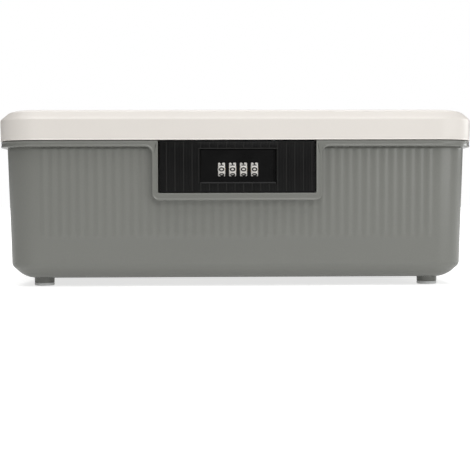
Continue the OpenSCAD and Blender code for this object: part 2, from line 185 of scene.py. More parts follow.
def combine(base, tools, op):
    """base joined with or cut by each tool, as one closed mesh."""
    for t in tools:
        m = base.modifiers.new("cut", "BOOLEAN")
        m.operation, m.solver, m.object = op, "MANIFOLD", t
    graph = bpy.context.evaluated_depsgraph_get()
    me = bpy.data.meshes.new_from_object(base.evaluated_get(graph), depsgraph=graph)
    base.modifiers.clear()
    old, base.data = base.data, me
    bpy.data.meshes.remove(old)
    for t in tools:
        me = t.data
        bpy.data.objects.remove(t)
        bpy.data.meshes.remove(me)
    return base


def tidy(ob, dist=2e-6):
    """Joins points that the cuts left almost on each other."""
    bm = bmesh.new()
    bm.from_mesh(ob.data)
    bmesh.ops.remove_doubles(bm, verts=bm.verts, dist=dist)
    bmesh.ops.dissolve_degenerate(bm, dist=1e-7, edges=bm.edges)
    bm.to_mesh(ob.data)
    bm.free()
    return ob


def piece(ob, material, body, nodes=(), sharp=32.0, weighted=True):
    """Shades a finished mesh, gives it its material and lets it ride on its body."""
    bm = bmesh.new()
    bm.from_mesh(ob.data)
    limit = math.radians(sharp)
    for f in bm.faces:
        f.smooth = True
        f.material_index = 0
    for e in bm.edges:
        e.smooth = len(e.link_faces) == 2 and e.calc_face_angle(0.0) < limit
    bm.to_mesh(ob.data)
    bm.free()
    ob.data.materials.clear()
    ob.data.materials.append(material)
    if weighted:
        m = ob.modifiers.new("even_normals", "WEIGHTED_NORMAL")
        m.keep_sharp = True
        m.weight = 50
    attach(ob, body)
    if nodes:
        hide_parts(*nodes)
    return ob


# ---------------------------------------------------------------- materials
def lin(rgb):
    return tuple((c / 255 / 12.92 if c / 255 <= 0.04045 else ((c / 255 + 0.055) / 1.055) ** 2.4) for c in rgb) + (1.0,)


def shade(c, k):
    return tuple(min(1.0, max(0.0, v * k)) for v in c[:3]) + (1.0,)


def new_material(name):
    mat = bpy.data.materials.new(name)
    mat.use_nodes = True
    nt = mat.node_tree
    return mat, nt, nt.nodes["Principled BSDF"], nt.nodes.new("ShaderNodeTexCoord").outputs["Object"]


def noise(nt, coord, scale, detail=2.0, rough=0.5, stretch=None):
    if stretch:
        m = nt.nodes.new("ShaderNodeMapping")
        m.inputs["Scale"].default_value = stretch
        nt.links.new(coord, m.inputs["Vector"])
        coord = m.outputs["Vector"]
    n = nt.nodes.new("ShaderNodeTexNoise")
    n.inputs["Scale"].default_value = scale
    n.inputs["Detail"].default_value = detail
    n.inputs["Roughness"].default_value = rough
    nt.links.new(coord, n.inputs["Vector"])
    return n.outputs["Fac"]


def ramp(nt, fac, stops):
    r = nt.nodes.new("ShaderNodeValToRGB")
    els = r.color_ramp.elements
    while len(els) < len(stops):
        els.new(0.5)
    for e, (p, c) in zip(els, stops):
        e.position, e.color = p, c
    nt.links.new(fac, r.inputs["Fac"])
    return r.outputs["Color"]


def to_range(nt, fac, a, b, lo=0.3, hi=0.7):
    m = nt.nodes.new("ShaderNodeMapRange")
    m.inputs["From Min"].default_value, m.inputs["From Max"].default_value = lo, hi
    m.inputs["To Min"].default_value, m.inputs["To Max"].default_value = a, b
    nt.links.new(fac, m.inputs["Value"])
    return m.outputs["Result"]


def mix(nt, a, b, fac, kind="MIX"):
    m = nt.nodes.new("ShaderNodeMix")
    m.data_type, m.blend_type = "RGBA", kind
    if isinstance(fac, float):
        m.inputs[0].default_value = fac
    else:
        nt.links.new(fac, m.inputs[0])
    for k, v in ((6, a), (7, b)):
        if isinstance(v, tuple):
            m.inputs[k].default_value = v
        else:
            nt.links.new(v, m.inputs[k])
    return m.outputs[2]


def bump(nt, fac, strength, distance, below=None):
    b = nt.nodes.new("ShaderNodeBump")
    b.inputs["Strength"].default_value = strength
    b.inputs["Distance"].default_value = distance
    nt.links.new(fac, b.inputs["Height"])
    if below is not None:
        nt.links.new(below, b.inputs["Normal"])
    return b.outputs["Normal"]


def plastic(name, rgb, rough, cloud=0.025, speck=0.03, grain=2200.0, relief=0.12, spec=0.5, wear=0.0, streak=0.0, vary=1.0, swell=0.10, painted_crest_highlight=None):
    """Moulded plastic: slow colour drift, fine pigment specks, spark-eroded grain, edges rubbed a little lighter, and
    on request a painted highlight on the frontmost crests.
    """
    mat, nt, s, co = new_material(name)
    base = lin(rgb)
    slow = noise(nt, co, 16.0, 3.0, 0.55)
    col = ramp(nt, slow, [(0.30, shade(base, 1 - cloud)), (0.52, base), (0.72, shade(base, 1 + cloud))])
    fine = noise(nt, co, 1500.0, 2.0, 0.6)
    dots = ramp(nt, fine, [(0.34, shade((1, 1, 1), 1 - speck)), (0.62, (1.0, 1.0, 1.0, 1.0))])
    col = mix(nt, col, dots, 1.0, "MULTIPLY")
    if streak:
        flow = noise(nt, co, 9.0, 4.0, 0.6, (34.0, 34.0, 1.0))
        lines = ramp(nt, flow, [(0.35, shade((1, 1, 1), 1 - streak)), (0.62, (1.0, 1.0, 1.0, 1.0))])
        col = mix(nt, col, lines, 1.0, "MULTIPLY")
    if wear:
        g = nt.nodes.new("ShaderNodeNewGeometry")
        edge = to_range(nt, g.outputs["Pointiness"], 0.0, wear, 0.505, 0.56)
        col = mix(nt, col, shade(base, 1.25), edge)
    if painted_crest_highlight:
        # painted highlight: the frontmost crests of the panel's ribs and beads are painted paler, as where light
        # catches them
        apart = nt.nodes.new("ShaderNodeSeparateXYZ")
        nt.links.new(co, apart.inputs[0])
        col = mix(nt, col, lin(painted_crest_highlight), to_range(nt, apart.outputs["Y"], 1.0, 0.0, -0.11390, -0.11377))
    nt.links.new(col, s.inputs["Base Color"])
    patch = noise(nt, co, 70.0, 3.0, 0.6)
    nt.links.new(to_range(nt, patch, rough - 0.05 * vary, rough + 0.06 * vary), s.inputs["Roughness"])
    s.inputs["Specular IOR Level"].default_value = spec
    v = nt.nodes.new("ShaderNodeTexVoronoi")
    v.inputs["Scale"].default_value = grain
    nt.links.new(co, v.inputs["Vector"])
    n1 = bump(nt, v.outputs["Distance"], relief, 0.00006)
    n2 = bump(nt, fine, relief, 0.00005, n1)
    if streak:
        n2 = bump(nt, flow, streak, 0.0002, n2)
    wave = noise(nt, co, 42.0, 2.0, 0.5)
    nt.links.new(bump(nt, wave, swell, 0.00018, n2), s.inputs["Normal"])
    return mat


def metal(name, rgb, rough, along=(1.0, 1.0, 1.0), scale=260.0, tint=None, spread=0.10):
    """Plated or drawn metal: fine lines along one direction, faint blotches of the plating, small pits."""
    mat, nt, s, co = new_material(name)
    base = lin(rgb)
    lines = noise(nt, co, scale, 3.0, 0.6, along)
    col = ramp(nt, lines, [(0.3, shade(base, 1 - spread)), (0.55, base), (0.75, shade(base, 1 + spread))])
    if tint:
        blot = noise(nt, co, 120.0, 3.0, 0.6)
        col = mix(nt, col, lin(tint), to_range(nt, blot, 0.0, 0.35, 0.48, 0.72))
    nt.links.new(col, s.inputs["Base Color"])
    s.inputs["Metallic"].default_value = 1.0
    fine = noise(nt, co, scale * 2.5, 3.0, 0.65, along)
    nt.links.new(to_range(nt, fine, rough - 0.08, rough + 0.10), s.inputs["Roughness"])
    pits = noise(nt, co, 900.0, 2.0, 0.6)
    n1 = bump(nt, pits, 0.10, 0.00004)
    nt.links.new(bump(nt, lines, 0.16, 0.00005, n1), s.inputs["Normal"])
    return mat


def silicone(name):
    """Soft translucent silicone, with a faint cloudiness and fine matt skin."""
    mat, nt, s, co = new_material(name)
    base = lin((226, 227, 226))
    cloud = noise(nt, co, 220.0, 3.0, 0.6)
    nt.links.new(ramp(nt, cloud, [(0.3, shade(base, 0.93)), (0.7, shade(base, 1.06))]), s.inputs["Base Color"])
    s.inputs["Subsurface Weight"].default_value = 0.35
    s.inputs["Subsurface Radius"].default_value = (1.0, 1.0, 0.95)
    s.inputs["Subsurface Scale"].default_value = 0.003
    s.inputs["Transmission Weight"].default_value = 0.18
    s.inputs["IOR"].default_value = 1.41
    skin = noise(nt, co, 1400.0, 2.0, 0.6)
    nt.links.new(to_range(nt, skin, 0.34, 0.5), s.inputs["Roughness"])
    nt.links.new(bump(nt, skin, 0.12, 0.00005), s.inputs["Normal"])
    return mat


TUB = plastic("tub_plastic", (115, 116, 111), 0.25, cloud=0.015, speck=0.04, relief=0.018, wear=0.10, spec=0.5, vary=0.3, swell=0.03)
LID = plastic("lid_plastic", (217, 212, 206), 0.36, cloud=0.012, speck=0.015, relief=0.035, spec=0.5, vary=0.4, swell=0.04)
# the panel's rib and bead crests carry a painted highlight
BLACK = plastic("panel_black", (8, 8, 8), 0.33, cloud=0.10, speck=0.10, relief=0.08, spec=0.17, streak=0.35, swell=0.05, painted_crest_highlight=(30, 30, 29))
BLOCK = plastic("block_black", (5, 5, 5), 0.30, cloud=0.10, speck=0.06, relief=0.05, spec=0.14, swell=0.04)
COVER = plastic("housing_black", (34, 34, 33), 0.52, cloud=0.08, speck=0.08, relief=0.2, spec=0.3, wear=0.2)
DIAL = plastic("dial_white", (198, 195, 190), 0.38, cloud=0.02, speck=0.02, relief=0.06, spec=0.5)
INK = plastic("numeral_ink", (24, 24, 24), 0.5, cloud=0.08, speck=0.1, relief=0.1, spec=0.2)
PLUG = silicone("plug_silicone")
ZINC = metal("zinc_plated_steel", (176, 177, 176), 0.34, (1.0, 8.0, 8.0), tint=(150, 152, 158))
DRAWN = metal("bright_steel", (190, 190, 188), 0.24, (1.0, 40.0, 40.0), scale=120.0)
SCREW = metal("screw_steel", (182, 182, 178), 0.30, (1.0, 1.0, 1.0), scale=700.0, tint=(160, 158, 150))
SPRING = metal("spring_steel", (128, 132, 138), 0.28, (2.0, 14.0, 14.0), tint=(104, 110, 122))
BRASS = metal("turned_brass", (202, 168, 96), 0.30, (30.0, 1.0, 1.0), scale=200.0, tint=(176, 138, 74))
RIVET = metal("rivet_aluminium", (200, 199, 194), 0.40, (1.0, 1.0, 1.0), scale=500.0)


# ---------------------------------------------------------------- stations round the box
def around(front_x, side_y, corner_n, full=True):
    """Points on the four corner lines' rectangle and the outward direction at each, anticlockwise from front left."""
    st = [(x, CYF, 0.0, -1.0, "front", x) for x in front_x]
    def corner(cx, cy, a0):
        out = []
        for k in range(1, corner_n):
            a = math.radians(a0 + 90.0 * k / corner_n)
            out.append((cx, cy, math.cos(a), math.sin(a), "corner", 0.0))
        return out
    st += corner(CX, CYF, -90)
    st += [(CX, y, 1.0, 0.0, "side", y) for y in side_y]
    st += corner(CX, CYB, 0)
    st += [(x, CYB, 0.0, 1.0, "front", x) for x in reversed(front_x)]
    st += corner(-CX, CYB, 90)
    st += [(-CX, y, -1.0, 0.0, "side", y) for y in reversed(side_y)]
    st += corner(-CX, CYF, 180)
    return st


def sweep(name, st, rows, place):
    """Rows of one section run round the stations. place(row, station) gives (u, z). Both ends of the rows lie at u =
    0, where the caller closes them with flat caps.
    """
    verts, faces, m, n = [], [], len(rows), len(st)
    for s in st:
        for r in rows:
            u, z = place(r, s)
            verts.append((s[0] + s[2] * u, s[1] + s[3] * u, z))
    for i in range(n):
        j = (i + 1) % n
        for k in range(m - 1):
            faces.append([i * m + k, i * m + k + 1, j * m + k + 1, j * m + k])
    return verts, faces


# ---------------------------------------------------------------- tub
PITCH, DEPTH = 6.15, 0.53
HALF_F = 44 * PITCH / 2
HALF_S = 27 * PITCH / 2
MID_Y = (CYF + CYB) / 2


def flute(kind, t):
    """How far a fluted wall stands out from the plain one."""
    if kind == "front":
        half = HALF_F
    elif kind == "side":
        half, t = HALF_S, t - MID_Y
    else:
        return 0.0
    if abs(t) > half:
        return 0.04 * (1 - smooth(half, half + 1.2, abs(t)))
    return 0.04 + DEPTH * (1 - math.cos(2 * math.pi * (t + half) / PITCH)) / 2


def wall_u(z):
    return 22.6 - DRAFT * (RIM_Z0 - z)


fx = [-CX] + [-HALF_F - 1.2, -HALF_F - 0.6] + [-HALF_F + i * PITCH / 8 for i in range(44 * 8 + 1)] + [HALF_F + 0.6, HALF_F + 1.2] + [CX]
sy = [CYF] + [MID_Y - HALF_S + i * PITCH / 8 for i in range(27 * 8 + 1)] + [CYB]
st = around(fx, sy, 20)

# the lower edge: a long soft curve, a short slope and a tight round up into the wall
outer = [(0.0, TUB_Z0, 0.0)] + [(u, z, 0.0) for u, z in bez((2.0, 5.8), (9.3, 5.8), (14.5, 9.8), 14)]
outer += [(u, z, 0.0) for u, z in bez((18.5, 13.35), (19.85, 14.6), (20.03, 16.6), 8)]
for z, w in ((22, 0), (28, 0), (32.4, 0), (33.3, 0.12), (34.2, 0.34), (35.1, 0.62), (36.0, 0.86), (37.2, 1), (52, 1), (67, 1), (82, 1), (94.6, 1), (95.4, 0.9)):
    outer.append((wall_u(z), float(z), float(w)))
# a small relief groove under the rim, where the flutes run out
outer += [(wall_u(95.8) - 0.1, 95.8, 0.5), (wall_u(96.2) - 0.25, 96.2, 0.12), (wall_u(96.5) - 0.3, 96.5, 0.0), (wall_u(97.2) - 0.3, 97.2, 0.0)]
outer += [(22.5, 98.4, 0.0), (22.5, 100.6, 0.0), (22.1, 100.6, 0.0), (22.1, 102.3, 0.0), (22.02, 102.55, 0.0), (21.8, 102.7, 0.0)]
inner = [(20.4, 102.7, 0.0), (20.2, 102.6, 0.0), (20.1, 102.4, 0.0), (20.05, 98.0, 0.0), (19.25, 72.0, 0.0), (18.4, 45.0, 0.0)]
inner += [(u, z, 0.0) for u, z in bez((17.54, 17.5), (15.9, 9.9), (1.34, 8.3), 14)] + [(0.0, 8.3, 0.0)]
rows = outer + inner


def place_tub(r, s):
    u, z, w = r
    return u + (w * flute(s[4], s[5]) if w else 0.0), z


verts, faces = sweep("tub", st, rows, place_tub)
m = len(rows)
ring = list(range(len(st)))
faces.append([i * m for i in ring])
faces.append([i * m + m - 1 for i in reversed(ring)])
tub = solid("tub_shell", verts, faces)


def u_outline(e):
    """Outline of the lock pocket, opened up by e."""
    return u_shape(54.15 + e, 64.8 - e, 1.2 + e, 108.0)


def u_shape(x, z, r, top):
    pts = [(-x, top)]
    for k in range(9):
        a = math.radians(180 + 90 * k / 8)
        pts.append((-x + r + r * math.cos(a), z + r + r * math.sin(a)))
    for k in range(9):
        a = math.radians(270 + 90 * k / 8)
        pts.append((x - r + r * math.cos(a), z + r + r * math.sin(a)))
    return pts + [(x, top)]


more = [prism("slab", u_shape(57.95, 60.0, 4.25, 100.57), "y", -111.6, -107.0, 0.0)]
for x, y in FOOT:
    more.append(lathe("stub", [(0.0, 2.2), (6.6, 2.2), (6.88, 2.3), (7.0, 2.6), (7.08, 7.4), (7.0, 10.2), (6.7, 10.3), (0.0, 10.3)], (x, y, 0.0)))
for hx in (-HX, HX):
    for s in (-1, 1):
        x = hx + s * 15.2
        arc = [(HY + 3.3 * math.cos(math.radians(a)), HZ + 3.3 * math.sin(math.radians(a))) for a in range(118, -71, -12)]
        web = arc + [(HY - 0.6, 96.1), (HY - 2.9, 94.6), (HY - 6.2, 93.75), (101.2, 93.75), (101.2, 100.4), (108.2, 100.4)]
        more.append(prism("knuckle", web, "x", x - 5, x + 5, 0.4))
tub = combine(tub, more, "UNION")

cuts = [prism("pocket", u_outline(0.2), "y", -125.0, -110.4, 0.0),
        rounded_box("bead_gap", (-60.0, -125.0, 100.6), (60.0, -99.9, 106.0), 0.0),
        rounded_box("way", (-36.0, -111.4, 68.6), (36.0, -105.9, 106.0), 0.0),
        rounded_box("seat", (-51.0, -107.0, 64.7), (51.0, -103.0, 106.0), 0.0)]
for x in (-SCREW_X, SCREW_X):
    for z in SCREW_Z:
        cuts.append(post("boss_hole", x, -112.0, -105.5, z, 3.4))
for x, y in FOOT:
    cuts.append(lathe("socket", [(0.0, 0.0), (5.35, 0.0), (5.35, 2.25), (5.0, 2.6), (5.0, 7.2), (4.6, 7.65), (0.0, 7.65)], (x, y, 0.0)))
for hx in (-HX, HX):
    cuts.append(rod("pin_bore", hx - 22, hx + 22, HY, HZ, 1.5, 0.0))
tub = combine(tub, cuts, "DIFFERENCE")

# the rim, which dips round the lock pocket: one band of the same section all the way round
RO, RI, LIP, TOP = 0.7, 0.45, 0.37, 0.2


def band_stations():
    out = []
    def plain(s):
        out.append({"kind": "box", "o": (s[0], s[1]), "n": (s[2], s[3])})
    def dip(po, pi, no, ni):
        out.append({"kind": "face", "po": po, "pi": pi, "no": no, "ni": ni})
    for i in range(13):
        plain((-CX + (CX - 63.1) * i / 12.0, CYF, 0.0, -1.0))
    for k in range(1, 15):
        t = k / 14.0
        a = math.radians(90 - 90 * t)
        po = (-63.1 + 4.9 * math.cos(a), 91.7 + 4.9 * math.sin(a))
        ni = (0.0, -1.0) if k < 14 else (-1.0, -1.0)
        dip(po, (-63.1 + 8.95 * t, 100.7), (math.cos(a), math.sin(a)), ni)
    for k in range(1, 7):
        t = k / 6.0
        dip((-58.2, 91.7 - 27.45 * t), (-54.15, 100.7 - 34.7 * t), (1.0, 0.0), (-1.0, 0.0))
    for k in range(1, 13):
        a = math.radians(180 + 7.5 * k)
        c, s = math.cos(a), math.sin(a)
        dip((-53.7 + 4.5 * c, 64.25 + 4.5 * s), (-52.95 + 1.2 * c, 66.0 + 1.2 * s), (-c, -s), (c, s))
    n = 16
    for k in range(1, n):
        t = k / n
        dip((-53.7 + 107.4 * t, 59.75), (-52.95 + 105.9 * t, 64.8), (0.0, 1.0), (0.0, -1.0))
    half = [dict(s) for s in out if s["kind"] == "face" and s["po"][0] <= -53.7 + 1e-6]
    for s in reversed(half):
        dip((-s["po"][0], s["po"][1]), (-s["pi"][0], s["pi"][1]), (-s["no"][0], s["no"][1]), (-s["ni"][0], s["ni"][1]))
    for i in range(13):
        plain((63.1 + (CX - 63.1) * i / 12.0, CYF, 0.0, -1.0))
    def corner(cx, cy, a0):
        for k in range(1, 20):
            a = math.radians(a0 + 4.5 * k)
            plain((cx, cy, math.cos(a), math.sin(a)))
    corner(CX, CYF, -90)
    for i in range(9):
        plain((CX, CYF + (CYB - CYF) * i / 8.0, 1.0, 0.0))
    corner(CX, CYB, 0)
    for i in range(15):
        plain((CX - 2 * CX * i / 14.0, CYB, 0.0, 1.0))
    corner(-CX, CYB, 90)
    for i in range(9):
        plain((-CX, CYB - (CYB - CYF) * i / 8.0, -1.0, 0.0))
    corner(-CX, CYF, 180)
    return out


def band_rows():
    r = [("o", 0.0, 21.9), ("o", 0.0, U_RIM + LIP - RO)]
    for k in range(1, 7):
        t = math.pi / 2 * k / 6
        r.append(("o", RO * (1 - math.cos(t)), U_RIM + LIP - RO + RO * math.sin(t)))
    r += [("o", 0.82, U_RIM + 0.35), ("o", 1.15, U_RIM + 0.18), ("o", 1.4, U_RIM + 0.05), ("o", 1.65, U_RIM)]
    r += [("i", 1.25, U_RIM), ("i", 1.0, U_RIM + 0.04), ("i", 0.75, U_RIM + 0.13)]
    for k in range(0, 5):
        t = math.pi / 2 * (1 - k / 4)
        r.append(("i", RI * (1 - math.cos(t)), U_RIM + TOP - RI + RI * math.sin(t)))
    r.append(("i", 0.0, 21.9))
    return r


bst, brows = band_stations(), band_rows()
verts, faces, m, n = [], [], len(brows), len(bst)
for s in bst:
    for side, a, u in brows:
        if s["kind"] == "box":
            z = RIM_Z0 + a if side == "o" else RIM_TOP - a
            verts.append((s["o"][0] + s["n"][0] * u, s["o"][1] + s["n"][1] * u, z))
        else:
            p, d = (s["po"], s["no"]) if side == "o" else (s["pi"], s["ni"])
            if side == "o" and u > U_RIM:
                u = U_RIM + (u - U_RIM) * (0.25 + 0.75 * abs(d[1]))      # the bead fades on the upright parts
            verts.append((p[0] + d[0] * a, CYF - u, p[1] + d[1] * a))
for i in range(n):
    j = (i + 1) % n
    for k in range(m):
        l = (k + 1) % m
        faces.append([i * m + k, i * m + l, j * m + l, j * m + k])
rim = solid("rim_band", verts, faces)
tub = tidy(combine(tub, [rim], "UNION"))
piece(tub, TUB, "tub", ["base_tub"], sharp=34.0)

# ---------------------------------------------------------------- lid
NX, NY = 44, 28
lx = [-CX + 2 * CX * i / NX for i in range(NX + 1)]
ly = [CYF + (CYB - CYF) * i / NY for i in range(NY + 1)]
lst = around(lx, ly, 22)


def crown(x, y):
    a, b = 1 - (x / 148.0) ** 2, 1 - ((y - MID_Y) / 94.5) ** 2
    return 0.36 * a * b if a > 0 and b > 0 else 0.0


lrows = [(0.0, 122.62), (3.5, 122.62), (7.0, 122.62)] + bez((10.5, 122.62), (18.9, 122.42), (22.1, 120.3), 14)
lrows += [(24.3, 118.46)] + bez((25.8, 117.2), (27.3, 115.94), (27.42, 115.0), 9)
lrows += [(27.36, 110.5), (27.24, 106.5), (27.14, 102.3), (27.18, 102.02), (27.3, 101.78), (27.45, 101.55), (27.5, 101.45), (27.5, 101.36), (27.42, 101.22), (27.2, 101.12),
          (25.35, 101.12), (25.1, 101.22), (25.0, 101.5), (25.0, 107.0), (25.0, 112.9), (24.9, 113.3), (24.6, 113.8)]
lrows += [(20.4, 118.0), (19.9, 118.4), (19.2, 118.8), (16.5, 119.9), (15.6, 120.1), (10.5, 120.3), (0.0, 120.3)]
TOP_ROWS = 4


def place_lid(r, s):
    u, z = r
    if z > 122.3 and u < 10.6:
        z += crown(s[0] + s[2] * u, s[1] + s[3] * u)
    return u, z


verts, faces = sweep("lid", lst, lrows, place_lid)
m = len(lrows)
faces.append([i * m + m - 1 for i in reversed(range(len(lst)))])
base = len(verts)
for y in ly:
    for x in lx:
        verts.append((x, y, 122.62 + crown(x, y)))
for j in range(NY):
    for i in range(NX):
        k = base + j * (NX + 1) + i
        faces.append([k, k + 1, k + NX + 2, k + NX + 1])
lid = solid("lid_cap", verts, faces)

more = []
for hx in (-HX, HX):
    arc = [(HY + 3.3 * math.cos(math.radians(a)), HZ + 3.3 * math.sin(math.radians(a))) for a in range(-118, 71, 12)]
    web = arc + [(HY - 1.0, 104.35), (106.4, 104.4), (106.4, 101.25), (108.0, 101.22)]
    more.append(prism("lid_knuckle", web, "x", hx - 10, hx + 10, 0.4))
    ca, sa = math.cos(math.radians(37.7)), math.sin(math.radians(37.7))
    nib = [(HY + y * ca - z * sa, HZ + y * sa + z * ca) for y, z in ((-0.6, -2.0), (-0.6, -4.3), (-0.3, -4.62), (0.3, -4.62), (0.6, -4.3), (0.6, -2.0))]
    more.append(prism("lid_nib", nib, "x", hx - 9.9, hx + 9.9, 0.25))
for s in (-34.0, 34.0):
    more.append(lathe("hasp_boss", [(0.0, 104.7), (3.3, 104.7), (3.5, 104.9), (3.5, 119.2), (4.3, 120.1), (4.6, 120.6), (0.0, 120.6)], (s, -104.2, 0.0), n=40))
lid = combine(lid, more, "UNION")
lid = tidy(combine(lid, [rod("lid_bore", hx - 12, hx + 12, HY, HZ, 1.55, 0.0) for hx in (-HX, HX)]
                   + [lathe("lid_hole", [(0.0, 100.0), (1.25, 100.0), (1.25, 115.0), (0.0, 115.6)], (s, -104.2, 0.0), n=24) for s in (-34.0, 34.0)], "DIFFERENCE"))
piece(lid, LID, "lid", ["lid_shell"], sharp=30.0)

# ---------------------------------------------------------------- lock bezel
def panel_outline():
    x, z0, z1, r = 53.85, 65.1, 100.5, 1.5
    pts = []
    for cx, cz, a0, rr in ((-x, z0, 180, r), (x, z0, 270, r), (x, z1, 0, 0.5), (-x, z1, 90, 0.5)):
        sx, sz = (1 if cx < 0 else -1), (1 if cz == z0 else -1)
        for k in range(7):
            a = math.radians(a0 + 15 * k)
            pts.append((cx + sx * rr + rr * math.cos(a), cz + sz * rr + rr * math.sin(a)))
    return pts


panel = prism("lock_panel", panel_outline(), "y", -113.7, -110.5, 0.85, 0.0, 4)
ribs = []
for i in range(-8, 10):
    x = i * 5.85 - 1.65
    sec = [(x - 0.52, -113.55), (x - 0.46, -113.70), (x - 0.26, -113.86), (x - 0.12, -113.9), (x + 0.12, -113.9), (x + 0.26, -113.86), (x + 0.46, -113.70), (x + 0.52, -113.55)]
    ribs.append(prism("rib", sec, "z", 65.95, 99.9, 0.0))
    # two finer ones between each pair
    for x in (x + 1.95, x + 3.9) if i < 9 else ():
        sec = [(x - 0.42, -113.6), (x - 0.3, -113.74), (x - 0.1, -113.8), (x + 0.1, -113.8), (x + 0.3, -113.74), (x + 0.42, -113.6)]
        ribs.append(prism("fine_rib", sec, "z", 65.95, 99.9, 0.0))
for x in (-SCREW_X, SCREW_X):
    for z in SCREW_Z:
        ribs.append(post("boss", x, -110.8, -107.1, z, 3.2, 0.2))
panel = combine(panel, ribs, "UNION")


def wedge(name, loops):
    """A cutter through a list of rectangles (x0, x1, z0, z1, y), front to back."""
    verts, faces = [], []
    for x0, x1, z0, z1, y in loops:
        verts += [(x0, y, z0), (x1, y, z0), (x1, y, z1), (x0, y, z1)]
    n = len(loops)
    for k in range(n - 1):
        for i in range(4):
            j = (i + 1) % 4
            faces.append([k * 4 + i, k * 4 + j, (k + 1) * 4 + j, (k + 1) * 4 + i])
    faces += [[3, 2, 1, 0], [(n - 1) * 4 + i for i in range(4)]]
    return solid(name, verts, faces)


cut = [prism("sill", [(-115.0, 72.6), (-113.36, 71.1), (-112.4, 72.45)], "x", -25.2, 27.1, 0.0),
       prism("jamb", [(26.5, -115.0), (27.1, -114.4), (27.1, -113.7), (26.5, -113.1)], "z", 71.1, 94.9, 0.0),
       wedge("window", [(-25.2, 26.6, 72.4, 94.9, -115.0), (-25.2, 26.6, 72.4, 94.9, -109.5)])]
cut += [post("pilot", x, -112.5, -106.0, z, 1.25) for x in (-SCREW_X, SCREW_X) for z in SCREW_Z]
panel = combine(panel, cut, "DIFFERENCE")
# a fine raised bead along the window's top and both sides
head = [(-113.3, 94.9), (-114.05, 94.95), (-114.16, 95.1), (-114.12, 95.25), (-113.5, 95.9), (-113.3, 95.95)]
left = [(-26.75, -113.3), (-26.7, -113.85), (-26.5, -114.05), (-26.25, -114.08), (-25.25, -113.2), (-25.2, -113.0), (-25.6, -112.6)]
right = [(27.1, -113.3), (27.13, -113.9), (27.22, -114.05), (27.4, -114.08), (28.0, -113.5), (28.05, -113.3)]
panel = tidy(combine(panel, [prism("bead", head, "x", -26.6, 27.9, 0.0), prism("bead_l", left, "z", 71.3, 95.3, 0.0),
                             prism("bead_r", right, "z", 71.3, 95.3, 0.0)], "UNION"))
piece(panel, BLACK, "tub", ["lock_bezel"], sharp=24.0)

# ---------------------------------------------------------------- dial block
X0, X1 = DIAL_X[0] - DIAL_H, DIAL_X[3] + DIAL_H + 2.7
block = prism("dial_carriage", [(-25.0, 72.6), (24.6, 72.6), (24.6, 94.7), (-25.0, 94.7)], "y", -112.5, -108.9, 0.35, 0.0)
more = [rounded_box("flange", (-31.0, -110.3, 69.7), (32.6, -109.0, 97.0), 0.25, 2),
        rounded_box("shelf", (X0 - 1.9, -109.1, 71.2), (X1 + 1.9, -103.0, 72.0), 0.0)]
for x in (X0 - 1.9, X1 + 0.1):
    web = [(-109.2, 76.0), (-101.2, 76.0), (-100.6, 76.6), (-100.6, 84.5), (-99.8, 84.5), (-99.8, 88.1), (-100.2, 88.5), (-109.2, 88.5)]
    more.append(prism("cheek", web, "x", x, x + 1.8, 0.15))
more += [rounded_box("seat_l", (X0 - 6.1, -105.6, 84.5), (X0 - 1.0, -99.8, 88.5), 0.25, 2),
         rounded_box("seat_r", (X1 + 1.0, -105.6, 84.5), (X1 + 5.2, -99.8, 88.5), 0.25, 2)]
block = combine(block, more, "UNION")
cut = []
for x in DIAL_X:
    w = DIAL_H + 0.25
    cut.append(lathe("slot", [(0.0, x - w), (DIAL_R + 0.2, x - w), (DIAL_R + 0.2, x + w), (0.0, x + w)], (0.0, DIAL_Y, DIAL_Z), "x", 72))
    cut.append(rod("hub_room", x + DIAL_H, x + DIAL_H + 2.75, DIAL_Y, DIAL_Z, 4.4, 0.0))
cut.append(rod("axle_bore", -40.0, 40.0, DIAL_Y, DIAL_Z, 1.5, 0.0))
for x in (X0 - 3.6, X1 + 2.9):
    cut.append(post("seat_bore", x, -105.0, -99.0, 86.6, 0.9))
# a shallow upright tick beside the dials, the place to set the code against
cut.append(prism("tick", [(22.35, 77.2), (23.05, 77.2), (23.05, 84.2), (22.35, 84.2)], "y", -112.9, -112.32, 0.0))
block = tidy(combine(block, cut, "DIFFERENCE"))
piece(block, BLOCK, "dial_carrier", ["dial_block"], sharp=28.0)


# ---------------------------------------------------------------- dials and their numerals
def dial(i):
    x0 = DIAL_X[i]
    n = 240
    half = [(0.0, 0.0), (1.2, 0.0), (1.85, 0.0), (2.1, 0.08), (2.32, 0.28), (2.4, 0.5)]
    prof = [(-2.4, 3.9)] + [(-x, DIAL_R - d) for x, d in half[:0:-1]] + [(x, DIAL_R - d) for x, d in half] + [(2.4, 3.9)]
    verts, faces, m = [], [], len(prof)
    for k in range(n):
        a = 2 * math.pi * k / n
        ph = (math.degrees(a) + 18.0) % 36.0
        d = min(ph, 36.0 - ph)                      # degrees from the line between two numbers
        dent = 1 - smooth(1.6, 4.2, d)
        for x, r in prof:
            edge = smooth(0.9, 2.3, abs(x))
            rr = r - 0.5 * dent * edge if r > 5 else r
            verts.append((x0 + x, DIAL_Y - rr * math.cos(a), DIAL_Z + rr * math.sin(a)))
    for k in range(n):
        j = (k + 1) % n
        for q in range(m):
            w = (q + 1) % m
            faces.append([k * m + q, k * m + w, j * m + w, j * m + q])
    ob = solid("number_wheel_%d" % (i + 1), verts, faces)
    piece(ob, DIAL, "dial_%d" % (i + 1), ["dial_ring_%d" % (i + 1)], sharp=50.0, weighted=False)


def arc(cx, cy, rx, ry, a0, a1, n=14):
    return [(cx + rx * math.cos(math.radians(a0 + (a1 - a0) * k / n)), cy + ry * math.sin(math.radians(a0 + (a1 - a0) * k / n))) for k in range(n + 1)]


